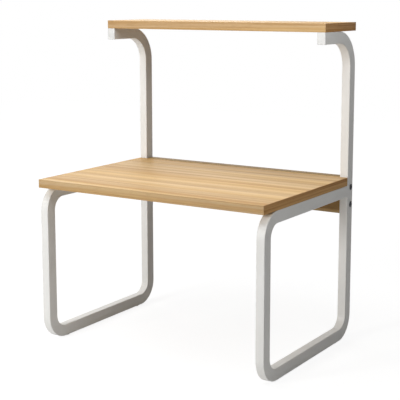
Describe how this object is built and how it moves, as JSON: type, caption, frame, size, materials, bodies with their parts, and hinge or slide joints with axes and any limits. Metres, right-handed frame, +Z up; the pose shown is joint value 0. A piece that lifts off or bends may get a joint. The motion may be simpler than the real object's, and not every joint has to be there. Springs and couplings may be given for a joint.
{
  "type": "microwave stand",
  "caption": "Free-standing two-tier stand with a deep lower shelf for an oven, a shallow upper shelf, a rear brace and bent-tube side frames.",
  "frame": {"origin": "on the floor, under the centre of the bounding box", "axes": "+Z up, -Y towards the front of the stand, +X to the right seen from the front"},
  "size_m": [0.5536, 0.3976, 0.6925],
  "materials": {
    "powder_coated_tube": "satin white powder coat",
    "laminated_board": "light wood-grain laminate on board, satin",
    "edge_band": "wood-grain edge band, satin",
    "plug_plastic": "white moulded plastic",
    "foot_plastic": "grey moulded plastic",
    "black_steel": "black oxide steel",
    "zinc_steel": "bright zinc-plated steel"
  },
  "bodies": {
    "root": {"left_side_frame": "powder_coated_tube", "right_side_frame": "powder_coated_tube", "left_arm_end_plug": "plug_plastic", "right_arm_end_plug": "plug_plastic", "front_left_foot": "foot_plastic", "front_right_foot": "foot_plastic", "rear_left_foot": "foot_plastic", "rear_right_foot": "foot_plastic", "lower_shelf_panel": "laminated_board", "lower_shelf_front_band": "edge_band", "lower_shelf_rear_band": "edge_band", "lower_shelf_left_band": "edge_band", "lower_shelf_right_band": "edge_band", "upper_shelf_panel": "laminated_board", "upper_shelf_front_band": "edge_band", "upper_shelf_rear_band": "edge_band", "upper_shelf_left_band": "edge_band", "upper_shelf_right_band": "edge_band", "rear_brace_panel": "laminated_board", "rear_brace_top_band": "edge_band", "rear_brace_bottom_band": "edge_band", "lower_shelf_bolts": "black_steel", "upper_shelf_bolts": "black_steel", "brace_bolts": "black_steel", "lower_shelf_inserts": "zinc_steel", "upper_shelf_inserts": "zinc_steel", "brace_barrel_nuts": "zinc_steel"}
  },
  "joints": []
}
